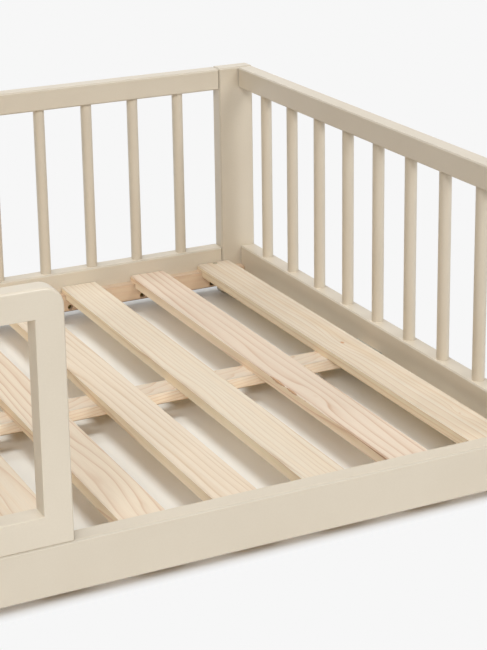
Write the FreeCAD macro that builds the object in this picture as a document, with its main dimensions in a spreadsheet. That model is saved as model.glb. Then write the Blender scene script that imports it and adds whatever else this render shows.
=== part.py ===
import FreeCAD, Part

import os

import Sketcher
from FreeCAD import Placement, Rotation, Vector

# Toddler floor bed with a slatted deck, closed on three sides by panels of round bars
# and by a low barrier along part of the front.
#
# Frame: +X runs along the bed (its right end, seen from the front), +Y to the back panel,
# +Z up from the floor. The origin is on the floor under the middle of the bed. Millimetres.

DIMENSIONS = {
    # clear space between the rails, for a 1900 x 900 mattress
    "inner_length": 1905,
    "inner_width": 915,
    # boards
    "board_thick": 28,
    "edge_break": 2,
    "post_width": 64,
    "post_height": 410,
    "rail_drop": 1,
    "rail_height": 36,
    "base_height": 65,
    "base_bottom": 20,
    "back_lift": 2,
    # round bars
    "bar_diameter": 18.5,
    "long_bars": 21,
    "end_bars": 9,
    "end_bar_first": 80,
    # deck
    "slat_count": 15,
    "slat_width": 63,
    "slat_thick": 17,
    "slat_top": 62.5,
    "slat_pitch": 127.5,
    "slat_first": 55,
    "end_clearance": 1,
    "tongue_thick": 10,
    "tongue_length": 20,
    "cleat_depth": 18,
    "cleat_height": 30,
    "beam_width": 42,
    "beam_thick": 20,
    "foot_size": 42,
    # barrier, from its free edge to the left front post
    "barrier_reach": 680,
    "barrier_top": 400,
    "barrier_rail": 36,
    "barrier_base": 38,
    "barrier_corner": 24,
    "barrier_bars": 13,
    # connector screws through the posts into the ends of the long rails
    "screw_diameter": 6,
    "screw_length": 100,
    "head_diameter": 15,
    "head_thick": 2.5,
    "top_screw_level": 385,
    "base_screw_level": 55,
    # steel hangers at the ends of the centre beam
    "hanger_sheet": 2,
    "hanger_length": 30,
    "hanger_ear": 15,
}

doc = FreeCAD.newDocument("floor_bed")
sheet = doc.addObject("Spreadsheet::Sheet", "Sheet")
for row, (alias, value) in enumerate(DIMENSIONS.items(), start=1):
    sheet.set("A%d" % row, alias)
    sheet.set("B%d" % row, str(value))
    sheet.setAlias("B%d" % row, alias)
doc.recompute()

sub_parts = []

ALONG_X, ALONG_Y, ALONG_Z = Vector(1, 0, 0), Vector(0, 1, 0), Vector(0, 0, 1)
FIRST_GUESS = 20      # size a sketch is drawn at before its expressions set it
SAME_PLACE = 0.01     # closer than this is the same plane
PARALLEL = 0.999      # cosine above which two directions are the same


# ---------------------------------------------------------------- small tools

def bind(target, path, expression):
    """Drive one property of a document object by an expression in the sheet's aliases."""
    target.setExpression(path, expression)


def size(alias):
    return float(sheet.get(alias))


def new_body(label):
    body = doc.addObject("PartDesign::Body", label)
    body.Label = label
    sub_parts.append(body)
    return body


def put(body, x="0", y="0", z="0"):
    """Place a body with expressions for the three coordinates of its own origin."""
    for axis, expression in zip("xyz", (x, y, z)):
        bind(body, "Placement.Base." + axis, expression)


def attach(body, role, offset=("0", "0", "0")):
    """New sketch on one of the body's own origin planes, shifted within and off that plane."""
    plane = next(item for item in body.Origin.OriginFeatures if item.Role == role)
    sketch = body.newObject("Sketcher::SketchObject", "Sketch")
    sketch.AttachmentSupport = [(plane, "")]
    sketch.MapMode = "FlatFace"
    for axis, expression in zip("xyz", offset):
        bind(sketch, "AttachmentOffset.Base." + axis, expression)
    return sketch


def rectangle(sketch, width, height):
    """Rectangle centred on the sketch's origin."""
    half = FIRST_GUESS / 2
    corners = [Vector(-half, -half), Vector(half, -half), Vector(half, half), Vector(-half, half)]
    first = sketch.GeometryCount
    for i in range(4):
        sketch.addGeometry(Part.LineSegment(corners[i], corners[(i + 1) % 4]), False)
    for i in range(4):
        sketch.addConstraint(Sketcher.Constraint("Coincident", first + i, 2, first + (i + 1) % 4, 1))
        kind = "Vertical" if i % 2 else "Horizontal"
        sketch.addConstraint(Sketcher.Constraint(kind, first + i))
    sketch.addConstraint(Sketcher.Constraint("Symmetric", first, 1, first + 2, 1, -1, 1))
    across = sketch.addConstraint(Sketcher.Constraint("DistanceX", first, 1, first, 2, FIRST_GUESS))
    up = sketch.addConstraint(Sketcher.Constraint("DistanceY", first + 1, 1, first + 1, 2, FIRST_GUESS))
    bind(sketch, "Constraints[%d]" % across, width)
    bind(sketch, "Constraints[%d]" % up, height)


def circle(sketch, diameter):
    """Circle on the sketch's origin."""
    ring = sketch.addGeometry(Part.Circle(Vector(0, 0), ALONG_Z, FIRST_GUESS / 2), False)
    sketch.addConstraint(Sketcher.Constraint("Coincident", ring, 3, -1, 1))
    across = sketch.addConstraint(Sketcher.Constraint("Diameter", ring, FIRST_GUESS))
    bind(sketch, "Constraints[%d]" % across, diameter)


def pad(body, sketch, length, midplane=False):
    feature = body.newObject("PartDesign::Pad", "Pad")
    feature.Profile = sketch
    feature.SideType = "Symmetric" if midplane else "One side"
    bind(feature, "Length", length)
    doc.recompute()
    return feature


def pocket(body, sketch, depth, along_normal=False):
    """Cut a profile against the sketch's normal, or along it, and see that wood really goes."""
    before = body.Shape.Volume
    feature = body.newObject("PartDesign::Pocket", "Pocket")
    feature.Profile = sketch
    feature.Reversed = along_normal
    bind(feature, "Length", depth)
    doc.recompute()
    if body.Shape.Volume >= before:
        raise RuntimeError("a cut in %s takes nothing away" % body.Label)


def edges_along(shape, direction):
    """Names of the straight edges that run in one direction."""
    names = []
    for number, edge in enumerate(shape.Edges, start=1):
        if edge.Curve.TypeId == "Part::GeomLine" and abs(edge.Curve.Direction.dot(direction)) > PARALLEL:
            names.append("Edge%d" % number)
    return names


def edges_in_plane(shape, direction, level):
    """Names of the edges that lie in the plane square to a direction at one level."""
    names = []
    for number, edge in enumerate(shape.Edges, start=1):
        ends = [edge.valueAt(edge.FirstParameter), edge.valueAt(edge.LastParameter),
                edge.valueAt((edge.FirstParameter + edge.LastParameter) / 2)]
        if all(abs(point.dot(direction) - level) < SAME_PLACE for point in ends):
            names.append("Edge%d" % number)
    return names


def fillet(body, names, radius):
    solid = body.Tip
    feature = body.newObject("PartDesign::Fillet", "Fillet")
    feature.Base = (solid, names)
    bind(feature, "Radius", radius)
    doc.recompute()


def chamfer(body, names, width):
    solid = body.Tip
    feature = body.newObject("PartDesign::Chamfer", "Chamfer")
    feature.Base = (solid, names)
    bind(feature, "Size", width)
    doc.recompute()


def bore(body, role, offset, diameter, depth, along_normal=False):
    sketch = attach(body, role, offset)
    circle(sketch, diameter)
    pocket(body, sketch, depth, along_normal)


def board(label, length, width, height):
    """Board with broken edges, centred on its own X and Y, its underside at its own Z = 0."""
    body = new_body(label)
    outline = attach(body, "XY_Plane")
    rectangle(outline, length, width)
    pad(body, outline, height)
    every_edge = ["Edge%d" % number for number in range(1, len(body.Shape.Edges) + 1)]
    chamfer(body, every_edge, "Sheet.edge_break")
    return body


def group(label, shapes):
    """One node for identical pieces that lie apart."""
    node = doc.addObject("Part::Feature", label)
    node.Label = label
    node.Shape = Part.makeCompound(shapes)
    node.Placement = Placement()
    sub_parts.append(node)


def bar_row(label, count, pitch, first, height, axis):
    """Row of round bars as separate solids: the first at its own offset, the rest at a pitch."""
    body = new_body(label)
    offset = (first, "0", "0") if axis == "H_Axis" else ("0", first, "0")
    section = attach(body, "XY_Plane", offset)
    circle(section, "Sheet.bar_diameter")
    bar = pad(body, section, height)
    row = body.newObject("PartDesign::LinearPattern", "Row")
    row.Originals = [bar]
    row.Direction = (section, [axis])
    row.Mode = "Spacing"
    bind(row, "Offset", pitch)
    bind(row, "Occurrences", count)
    body.Tip = row
    doc.recompute()
    return body


# ---------------------------------------------------------------- places shared by several pieces

THICK = "Sheet.board_thick"
HALF_LENGTH = "Sheet.inner_length / 2"
HALF_WIDTH = "Sheet.inner_width / 2"
POST_STEP = "(Sheet.post_width - Sheet.board_thick)"
LONG_SPAN = "(Sheet.inner_length - 2 * %s)" % POST_STEP
RAIL_LEVEL = "(Sheet.post_height - Sheet.rail_drop - Sheet.rail_height)"
BASE_TOP = "(Sheet.base_bottom + Sheet.base_height)"
CLEAT_LEVEL = "(Sheet.slat_top - Sheet.tongue_thick - Sheet.cleat_height)"
BEAM_LEVEL = "(Sheet.slat_top - Sheet.slat_thick - Sheet.beam_thick)"
BARRIER_LENGTH = "(Sheet.inner_length - %s - Sheet.barrier_reach)" % POST_STEP
BARRIER_HEIGHT = "(Sheet.barrier_top - %s)" % BASE_TOP
BARRIER_MIDDLE = "(%s - Sheet.barrier_reach - %s / 2)" % (HALF_LENGTH, BARRIER_LENGTH)

side_sign = {"left": -1, "right": 1, "front": -1, "back": 1}


# ---------------------------------------------------------------- corner posts

def corner_post(side, hand, screw_levels):
    """Flat post; the bores of its connector screws run across its whole width."""
    right, back = side_sign[hand], side_sign[side]
    body = board("%s_%s_post" % (side, hand), "Sheet.post_width", THICK, "Sheet.post_height")
    for level in screw_levels:
        bore(body, "YZ_Plane", ("0", level, "Sheet.post_width / 2"), "Sheet.screw_diameter",
             "Sheet.post_width")
    put(body, "%d * (%s + %s - Sheet.post_width / 2)" % (right, HALF_LENGTH, THICK),
        "%d * (%s + %s / 2)" % (back, HALF_WIDTH, THICK))


TOP_SCREW, BASE_SCREW = "Sheet.top_screw_level", "Sheet.base_screw_level"
corner_post("back", "left", (TOP_SCREW, BASE_SCREW))
corner_post("back", "right", (TOP_SCREW, BASE_SCREW))
corner_post("front", "left", (TOP_SCREW, BASE_SCREW))
corner_post("front", "right", (BASE_SCREW,))


# ---------------------------------------------------------------- rails

def screw_bore(body, end, half_length, level):
    """Blind bore in the end grain of a long rail for the part of the screw beyond the post."""
    bore(body, "YZ_Plane", ("0", level, "%d * %s" % (end, half_length)), "Sheet.screw_diameter",
         "Sheet.screw_length - Sheet.post_width", along_normal=end < 0)


def long_rail(label, side, bottom, height, screw_level):
    """Rail along the bed, screwed between two posts."""
    body = board(label, LONG_SPAN, THICK, height)
    for end in (-1, 1):
        screw_bore(body, end, "%s / 2" % LONG_SPAN, "%s - %s" % (screw_level, bottom))
    put(body, "0", "%d * (%s + %s / 2)" % (side_sign[side], HALF_WIDTH, THICK), bottom)


def end_rail(label, hand, bottom, height):
    """Rail across the bed, glued between the two posts of its end frame."""
    body = board(label, THICK, "Sheet.inner_width", height)
    put(body, "%d * (%s + %s / 2)" % (side_sign[hand], HALF_LENGTH, THICK), "0", bottom)


BACK_BASE = "(Sheet.base_bottom + Sheet.back_lift)"
long_rail("back_top_rail", "back", RAIL_LEVEL, "Sheet.rail_height", TOP_SCREW)
long_rail("back_base_rail", "back", BACK_BASE, "Sheet.base_height", BASE_SCREW)
long_rail("front_base_rail", "front", "Sheet.base_bottom", "Sheet.base_height", BASE_SCREW)
for hand in ("left", "right"):
    end_rail(hand + "_top_rail", hand, RAIL_LEVEL, "Sheet.rail_height")
    end_rail(hand + "_base_rail", hand, "Sheet.base_bottom", "Sheet.base_height")


# ---------------------------------------------------------------- round bars of the three panels

def even_gap(span, count):
    return "((%s - %s * Sheet.bar_diameter) / (%s + 1))" % (span, count, count)


def bars_between(label, span, count, bottom, top, centre_x, centre_y):
    """Bars along the bed with equal gaps between themselves and the uprights at both ends."""
    pitch = "(%s + Sheet.bar_diameter)" % even_gap(span, count)
    first = "-1 * (%s - 1) / 2 * %s" % (count, pitch)
    body = bar_row(label, count, pitch, first, "%s - %s" % (top, bottom), "H_Axis")
    put(body, centre_x, centre_y, bottom)


bars_between("back_bars", LONG_SPAN, "Sheet.long_bars", "(%s + Sheet.base_height)" % BACK_BASE,
             RAIL_LEVEL, "0", "%s + %s / 2" % (HALF_WIDTH, THICK))
for hand in ("left", "right"):
    pitch = "((Sheet.inner_width - 2 * Sheet.end_bar_first) / (Sheet.end_bars - 1))"
    row = bar_row(hand + "_bars", "Sheet.end_bars", pitch, "Sheet.end_bar_first - " + HALF_WIDTH,
                  "%s - %s" % (RAIL_LEVEL, BASE_TOP), "V_Axis")
    put(row, "%d * (%s + %s / 2)" % (side_sign[hand], HALF_LENGTH, THICK), "0", BASE_TOP)


# ---------------------------------------------------------------- barrier

def barrier_blank():
    """The glued-up barrier frame: rounded free corner, square opening, all its rims eased."""
    body = doc.addObject("PartDesign::Body", "barrier_blank")
    outline = attach(body, "XZ_Plane", ("0", "%s / 2" % BARRIER_HEIGHT, "0"))
    rectangle(outline, BARRIER_LENGTH, BARRIER_HEIGHT)
    pad(body, outline, THICK, midplane=True)
    corner = [name for name in edges_in_plane(body.Shape, ALONG_X, body.Shape.BoundBox.XMax)
              if name in edges_in_plane(body.Shape, ALONG_Z, body.Shape.BoundBox.ZMax)]
    fillet(body, corner, "Sheet.barrier_corner")
    opening = attach(body, "XZ_Plane", ("0", "(%s + Sheet.barrier_base - Sheet.barrier_rail) / 2"
                                        % BARRIER_HEIGHT, "-1 * %s / 2" % THICK))
    rectangle(opening, "%s - 2 * Sheet.barrier_rail" % BARRIER_LENGTH,
              "%s - Sheet.barrier_base - Sheet.barrier_rail" % BARRIER_HEIGHT)
    pocket(body, opening, THICK, along_normal=True)
    rims = [name for face in (-1, 1)
            for name in edges_in_plane(body.Shape, ALONG_Y, face * size("board_thick") / 2)]
    chamfer(body, rims, "Sheet.edge_break")
    screw_bore(body, -1, "%s / 2" % BARRIER_LENGTH, "%s - %s" % (TOP_SCREW, BASE_TOP))
    put(body, BARRIER_MIDDLE, "-1 * (%s + %s / 2)" % (HALF_WIDTH, THICK), BASE_TOP)
    doc.recompute()
    return body


def barrier_member(label, blank, width, height, from_left, bottom):
    """One board of the barrier: the part of the blank that lies between its glue joints."""
    block = doc.addObject("Part::Box", label + "_block")
    bind(block, "Length", width)
    bind(block, "Width", THICK)
    bind(block, "Height", height)
    bind(block, "Placement.Base.x", "%s - %s / 2 + %s" % (BARRIER_MIDDLE, BARRIER_LENGTH, from_left))
    bind(block, "Placement.Base.y", "-1 * (%s + %s)" % (HALF_WIDTH, THICK))
    bind(block, "Placement.Base.z", "%s + %s" % (BASE_TOP, bottom))
    member = doc.addObject("Part::Common", label)
    member.Base = blank
    member.Tool = block
    member.Label = label
    sub_parts.append(member)
    doc.recompute()


blank = barrier_blank()
top_member = "(%s - Sheet.barrier_rail)" % BARRIER_HEIGHT
upright = "(%s - Sheet.barrier_base)" % top_member
barrier_member("barrier_base_rail", blank, BARRIER_LENGTH, "Sheet.barrier_base", "0", "0")
barrier_member("barrier_top_rail", blank, BARRIER_LENGTH, "Sheet.barrier_rail", "0", top_member)
barrier_member("barrier_post_upright", blank, "Sheet.barrier_rail", upright, "0", "Sheet.barrier_base")
barrier_member("barrier_free_upright", blank, "Sheet.barrier_rail", upright,
               "%s - Sheet.barrier_rail" % BARRIER_LENGTH, "Sheet.barrier_base")
bars_between("barrier_bars", "(%s - 2 * Sheet.barrier_rail)" % BARRIER_LENGTH, "Sheet.barrier_bars",
             "(%s + Sheet.barrier_base)" % BASE_TOP, "(Sheet.barrier_top - Sheet.barrier_rail)",
             BARRIER_MIDDLE, "-1 * (%s + %s / 2)" % (HALF_WIDTH, THICK))


# ---------------------------------------------------------------- deck

def slat(number):
    """Slat with broken top edges, its ends rebated from below to tongues that lie on the cleats."""
    body = new_body("slat_%02d" % number)
    slat_length = "(Sheet.inner_width - 2 * Sheet.end_clearance)"
    rebate = "(Sheet.slat_thick - Sheet.tongue_thick)"
    side = attach(body, "YZ_Plane", ("0", "Sheet.slat_thick / 2", "0"))
    rectangle(side, slat_length, "Sheet.slat_thick")
    pad(body, side, "Sheet.slat_width", midplane=True)
    for end in (-1, 1):
        notch = attach(body, "YZ_Plane", ("%d * (%s - Sheet.tongue_length) / 2" % (end, slat_length),
                                          rebate + " / 2", "Sheet.slat_width / 2"))
        rectangle(notch, "Sheet.tongue_length", rebate)
        pocket(body, notch, "Sheet.slat_width")
    top_edges = edges_in_plane(body.Shape, ALONG_Z, size("slat_thick"))
    chamfer(body, [name for name in edges_along(body.Shape, ALONG_Y) if name in top_edges],
            "Sheet.edge_break")
    put(body, "%s - Sheet.slat_first - %d * Sheet.slat_pitch" % (HALF_LENGTH, number - 1), "0",
        "Sheet.slat_top - Sheet.slat_thick")


for number in range(1, int(size("slat_count")) + 1):
    slat(number)

for side in ("back", "front"):
    cleat = board(side + "_cleat", "Sheet.inner_length - 2 * Sheet.end_clearance",
                  "Sheet.cleat_depth", "Sheet.cleat_height")
    put(cleat, "0", "%d * (%s - Sheet.cleat_depth / 2)" % (side_sign[side], HALF_WIDTH), CLEAT_LEVEL)

beam = board("centre_beam", "Sheet.inner_length - 2 * (Sheet.hanger_sheet + Sheet.end_clearance)",
             "Sheet.beam_width", "Sheet.beam_thick")
put(beam, "0", "0", BEAM_LEVEL)
board("beam_foot", "Sheet.foot_size", "Sheet.foot_size", BEAM_LEVEL)


def beam_hanger(hand):
    """Folded steel stirrup: a trough that carries the beam's end, with two ears on the end rail."""
    right = side_sign[hand]
    body = new_body(hand + "_beam_hanger")
    trough_width = "(Sheet.beam_width + 2 * Sheet.hanger_sheet)"
    middle = ("0", "(Sheet.beam_thick - Sheet.hanger_sheet) / 2", "0")
    plate = attach(body, "YZ_Plane", middle)
    rectangle(plate, trough_width + " + 2 * Sheet.hanger_ear", "Sheet.beam_thick + Sheet.hanger_sheet")
    pad(body, plate, "Sheet.hanger_sheet")
    trough = attach(body, "YZ_Plane", middle)
    rectangle(trough, trough_width, "Sheet.beam_thick + Sheet.hanger_sheet")
    pad(body, trough, "Sheet.hanger_length")
    hollow = attach(body, "YZ_Plane", ("0", "(Sheet.beam_thick + Sheet.hanger_sheet) / 2",
                                       "Sheet.hanger_length"))
    rectangle(hollow, "Sheet.beam_width", "Sheet.beam_thick + Sheet.hanger_sheet")
    pocket(body, hollow, "Sheet.hanger_length - Sheet.hanger_sheet")
    put(body, "%d * %s" % (right, HALF_LENGTH), "0", BEAM_LEVEL)
    body.Placement.Rotation = Rotation(ALONG_Z, 0 if right < 0 else 180)


beam_hanger("left")
beam_hanger("right")


# ---------------------------------------------------------------- connector screws

def screw_pattern():
    """Flat-headed screw along Z: the head stands on Z = 0 and the shank hangs below."""
    body = doc.addObject("PartDesign::Body", "screw_pattern")
    head = attach(body, "XY_Plane")
    circle(head, "Sheet.head_diameter")
    pad(body, head, "Sheet.head_thick")
    shank = attach(body, "XY_Plane", ("0", "0", "-1 * Sheet.screw_length"))
    circle(shank, "Sheet.screw_diameter")
    pad(body, shank, "Sheet.screw_length")
    return body.Shape


def placed(shape, at, z_to):
    """Copy of a pattern with its origin at one point and its Z axis turned to one direction."""
    copy = shape.copy()
    copy.Placement = Placement(at, Rotation(ALONG_Z, z_to))
    return copy


outer_face = size("inner_length") / 2 + size("board_thick")
board_line = size("inner_width") / 2 + size("board_thick") / 2
top_level, base_level = size("top_screw_level"), size("base_screw_level")
screwed = [(hand, board_line, level) for hand in (-1, 1) for level in (top_level, base_level)]
screwed += [(hand, -board_line, base_level) for hand in (-1, 1)]
screwed += [(-1, -board_line, top_level)]
screw = screw_pattern()
group("connector_screws", [placed(screw, Vector(hand * outer_face, line, level), hand * ALONG_X)
                           for hand, line, level in screwed])


# ---------------------------------------------------------------- sub-parts out

doc.recompute()
os.makedirs("parts", exist_ok=True)
for part in doc.Objects:
    if "Invalid" in part.State or "Error" in part.State:
        raise RuntimeError("%s did not build: %s" % (part.Label, part.State))
for part in sub_parts:
    if part.Shape.isNull() or not part.Shape.isValid():
        raise RuntimeError("%s has no sound shape" % part.Label)
    part.Shape.exportStep("parts/%s.step" % part.Label)
print("%d sub-parts written" % len(sub_parts))
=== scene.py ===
import math
import random
from collections import namedtuple

import bmesh
import bpy
from mathutils import Matrix, Vector


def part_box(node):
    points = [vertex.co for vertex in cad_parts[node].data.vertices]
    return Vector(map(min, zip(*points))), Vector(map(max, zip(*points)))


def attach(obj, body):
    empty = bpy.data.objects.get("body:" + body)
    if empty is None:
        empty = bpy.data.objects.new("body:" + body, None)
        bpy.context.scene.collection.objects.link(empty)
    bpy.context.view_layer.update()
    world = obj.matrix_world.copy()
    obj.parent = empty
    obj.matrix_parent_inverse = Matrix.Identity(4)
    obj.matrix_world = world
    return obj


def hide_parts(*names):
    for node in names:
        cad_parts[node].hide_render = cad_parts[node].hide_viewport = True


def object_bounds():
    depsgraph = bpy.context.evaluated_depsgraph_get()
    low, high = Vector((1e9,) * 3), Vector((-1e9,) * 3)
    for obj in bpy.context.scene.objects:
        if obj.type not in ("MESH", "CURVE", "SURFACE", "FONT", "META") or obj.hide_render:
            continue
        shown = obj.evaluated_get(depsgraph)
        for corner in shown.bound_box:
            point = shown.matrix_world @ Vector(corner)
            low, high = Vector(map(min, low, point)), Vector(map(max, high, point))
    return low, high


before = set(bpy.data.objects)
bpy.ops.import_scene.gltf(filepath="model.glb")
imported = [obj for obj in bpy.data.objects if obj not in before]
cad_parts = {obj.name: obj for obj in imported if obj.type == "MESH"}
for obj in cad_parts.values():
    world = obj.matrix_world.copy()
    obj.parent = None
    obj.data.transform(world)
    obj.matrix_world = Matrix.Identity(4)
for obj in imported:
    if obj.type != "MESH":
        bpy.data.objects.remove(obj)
cad_box = [Vector(corner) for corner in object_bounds()]

# Toddler floor bed: beige painted panels round a deck of bare pine slats. Metres; +X runs along
# the bed to its right end, +Y to the back panel, +Z up.

MM = 0.001


def srgb(red, green, blue):
    """Colour written as 0-255 screen values, turned into the linear values that shaders take."""
    def linear(value):
        value /= 255
        return value / 12.92 if value <= 0.04045 else ((value + 0.055) / 1.055) ** 2.4
    return (linear(red), linear(green), linear(blue), 1)


def middle(box):
    return (box[0] + box[1]) / 2


# ---------------------------------------------------------------- camera

CAMERA_PLACE = Vector((-0.3801, -2.2789, 1.0367))
CAMERA_HEADING = math.radians(26.09)     # from +Y towards +X
CAMERA_PITCH = math.radians(-15.75)
CAMERA_ROLL = math.radians(0.85)
FOCAL_PIXELS = 1785                      # in the photograph's own pixels
PHOTO_HEIGHT = 650
PHOTO_SHIFT = -0.2                       # of the long side: keeps the upright edges near parallel


def photo_camera():
    data = bpy.data.cameras.new("photo_camera")
    data.sensor_width = 36
    data.lens = FOCAL_PIXELS / PHOTO_HEIGHT * data.sensor_width
    data.shift_y = PHOTO_SHIFT
    data.clip_end = 100
    camera = bpy.data.objects.new("photo_camera", data)
    turn = (Matrix.Rotation(-CAMERA_HEADING, 4, "Z")
            @ Matrix.Rotation(math.pi / 2 + CAMERA_PITCH, 4, "X")
            @ Matrix.Rotation(-CAMERA_ROLL, 4, "Z"))
    camera.matrix_world = Matrix.Translation(CAMERA_PLACE) @ turn
    bpy.context.scene.collection.objects.link(camera)
    bpy.context.scene.camera = camera


photo_camera()


# ---------------------------------------------------------------- node tools

class Graph:
    """Short names for the nodes of one tree."""

    def __init__(self, tree):
        self.tree = tree

    def add(self, kind, **settings):
        node = self.tree.nodes.new(kind)
        for name, value in settings.items():
            setattr(node, name, value)
        return node

    def feed(self, socket, value):
        """Links an output to a socket, or writes a plain value on it."""
        if isinstance(value, bpy.types.NodeSocket):
            self.tree.links.new(value, socket)
        else:
            socket.default_value = value

    def math(self, operation, first, second=0.0):
        node = self.add("ShaderNodeMath", operation=operation)
        self.feed(node.inputs[0], first)
        self.feed(node.inputs[1], second)
        return node.outputs[0]

    def vector(self, operation, first, second=(0, 0, 0), output="Vector"):
        node = self.add("ShaderNodeVectorMath", operation=operation)
        self.feed(node.inputs[0], first)
        self.feed(node.inputs[1], second)
        return node.outputs[output]

    def parts(self, vector):
        """The X, Y and Z outputs of a vector."""
        node = self.add("ShaderNodeSeparateXYZ")
        self.feed(node.inputs[0], vector)
        return node.outputs

    def joined(self, x=0.0, y=0.0, z=0.0):
        node = self.add("ShaderNodeCombineXYZ")
        for socket, value in zip(node.inputs, (x, y, z)):
            self.feed(socket, value)
        return node.outputs[0]

    def scaled(self, vector, factor):
        """A vector or a colour times a number."""
        node = self.add("ShaderNodeVectorMath", operation="SCALE")
        self.feed(node.inputs[0], vector)
        self.feed(node.inputs["Scale"], factor)
        return node.outputs["Vector"]

    def largest(self, *values):
        result = values[0]
        for value in values[1:]:
            result = self.math("MAXIMUM", result, value)
        return result

    def group(self, tree, **values):
        """Adds a node group, sets its inputs and returns its outputs."""
        node = self.add("ShaderNodeGroup", node_tree=tree)
        for name, value in values.items():
            self.feed(node.inputs[name], value)
        return node.outputs

    def mix(self, factor, first, second, blend="MIX"):
        node = self.add("ShaderNodeMix", data_type="RGBA", blend_type=blend)
        self.feed(node.inputs[0], factor)
        self.feed(node.inputs[6], first)
        self.feed(node.inputs[7], second)
        return node.outputs[2]

    def noise(self, vector, scale=1.0, detail=3.0, roughness=0.5):
        node = self.add("ShaderNodeTexNoise")
        self.feed(node.inputs["Vector"], vector)
        self.feed(node.inputs["Scale"], scale)
        self.feed(node.inputs["Detail"], detail)
        self.feed(node.inputs["Roughness"], roughness)
        return node.outputs["Fac"]

    def spread(self, value, low, high, to_low=0.0, to_high=1.0, smooth=False):
        """Maps the range low..high of a value to another range, and stops at its ends."""
        node = self.add("ShaderNodeMapRange",
                        interpolation_type="SMOOTHSTEP" if smooth else "LINEAR")
        for socket, setting in zip(node.inputs, (value, low, high, to_low, to_high)):
            self.feed(socket, setting)
        return node.outputs[0]

    def ramp(self, value, stops):
        node = self.add("ShaderNodeValToRGB")
        elements = node.color_ramp.elements
        while len(elements) < len(stops):
            elements.new(0.5)
        for element, (position, level) in zip(elements, stops):
            element.position = position
            element.color = (level, level, level, 1)
        self.feed(node.inputs[0], value)
        return node.outputs[0]

    def bump(self, height, strength, distance, normal=None):
        node = self.add("ShaderNodeBump")
        if normal is not None:
            self.feed(node.inputs["Normal"], normal)
        self.feed(node.inputs["Height"], height)
        self.feed(node.inputs["Strength"], strength)
        self.feed(node.inputs["Distance"], distance)
        return node.outputs["Normal"]


def new_material(name):
    """Empty material with its shader: (material, graph, shader)."""
    material = bpy.data.materials.new(name)
    material.use_nodes = True
    graph = Graph(material.node_tree)
    return material, graph, material.node_tree.nodes["Principled BSDF"]


def object_point(graph):
    """The point on the object in metres; every mesh here is modelled in place."""
    return graph.add("ShaderNodeTexCoord").outputs["Object"]


def object_normal(graph):
    return graph.add("ShaderNodeTexCoord").outputs["Normal"]


# ---------------------------------------------------------------- paint

PAINT = srgb(219, 208, 189)
PAINT_SHADE = srgb(213, 201, 181)
EDGE_PAINTED_SHADE = 0.86                 # painted shade on the eased edges of the boards, toning down the highlight they catch
JOINT_TONE = 0.4                 # shadow and bare wood where the end of a rail meets a post
BARRIER_PAINTED_LIGHT = 1.045             # painted light: the barrier's paint is a little lighter, for the stronger light it gets than the boards
FLAT_FACE, EASED_EDGE = 0.96, 0.78    # the largest part of a normal there


def paint_material(axis, edge_painted_shading=1.0, face_painted_shading=1.0, joint_tone=1.0):
    """Satin sprayed paint over wood whose grain runs along one axis: 0, 1 or 2.

    The tones scale its colour, as painted light and shade, on eased edges, on faces and, once more,
    on upright eased edges."""
    material, graph, shader = new_material("beige_paint_" + "xyz"[axis])
    point = object_point(graph)
    cloud = graph.noise(point, 7)
    fleck = graph.noise(point, 420, 2)
    shade = graph.math("ADD", graph.math("MULTIPLY", cloud, 0.7),
                       graph.math("MULTIPLY", fleck, 0.3))
    colour = graph.mix(graph.spread(shade, 0.3, 0.7), PAINT, PAINT_SHADE)

    facing = graph.parts(graph.vector("ABSOLUTE", object_normal(graph)))
    squarest = graph.largest(facing["X"], facing["Y"], facing["Z"])
    tone = graph.spread(squarest, EASED_EDGE, FLAT_FACE, edge_painted_shading, face_painted_shading)
    joint = graph.math("MULTIPLY", graph.spread(squarest, EASED_EDGE, FLAT_FACE, 1, 0),
                       graph.spread(facing["Z"], 0.2, 0.4, 1, 0))
    tone = graph.math("MULTIPLY", tone, graph.spread(joint, 0, 1, 1.0, joint_tone))
    graph.feed(shader.inputs["Base Color"], graph.scaled(colour, tone))

    graph.feed(shader.inputs["Roughness"], graph.spread(cloud, 0.3, 0.7, 0.30, 0.37))
    shader.inputs["Specular IOR Level"].default_value = 0.62
    grain_scale = [180.0, 180.0, 180.0]
    grain_scale[axis] = 5.0
    grain = graph.noise(graph.vector("MULTIPLY", point, grain_scale), detail=2)
    peel = graph.noise(point, 700, 1)
    relief = graph.math("ADD", graph.math("MULTIPLY", grain, 0.6),
                        graph.math("MULTIPLY", peel, 0.5))
    graph.feed(shader.inputs["Normal"], graph.bump(relief, 0.08, 0.4 * MM))
    return material


BAR_PAINT = paint_material(2)
# posts and rails: painted shade on their eased edges
POST_PAINT = paint_material(2, EDGE_PAINTED_SHADE)
RAIL_PAINTS = [paint_material(axis, EDGE_PAINTED_SHADE, joint_tone=JOINT_TONE) for axis in (0, 1)]
# a lighter copy of the paint: painted light on the barrier
BARRIER_PAINT = paint_material(0, BARRIER_PAINTED_LIGHT, BARRIER_PAINTED_LIGHT)


# ---------------------------------------------------------------- pine

SLAT_LOW, SLAT_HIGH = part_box("slat_01")
SLAT_HALF_WIDTH = (SLAT_HIGH.x - SLAT_LOW.x) / 2
BEAM_HALF_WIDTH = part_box("centre_beam")[1].y


def socket(tree, name, kind, default=None, into=True):
    """Adds an input to a node group, or an output."""
    made = tree.interface.new_socket(name, in_out="INPUT" if into else "OUTPUT", socket_type=kind)
    if default is not None:
        made.default_value = default


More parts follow.
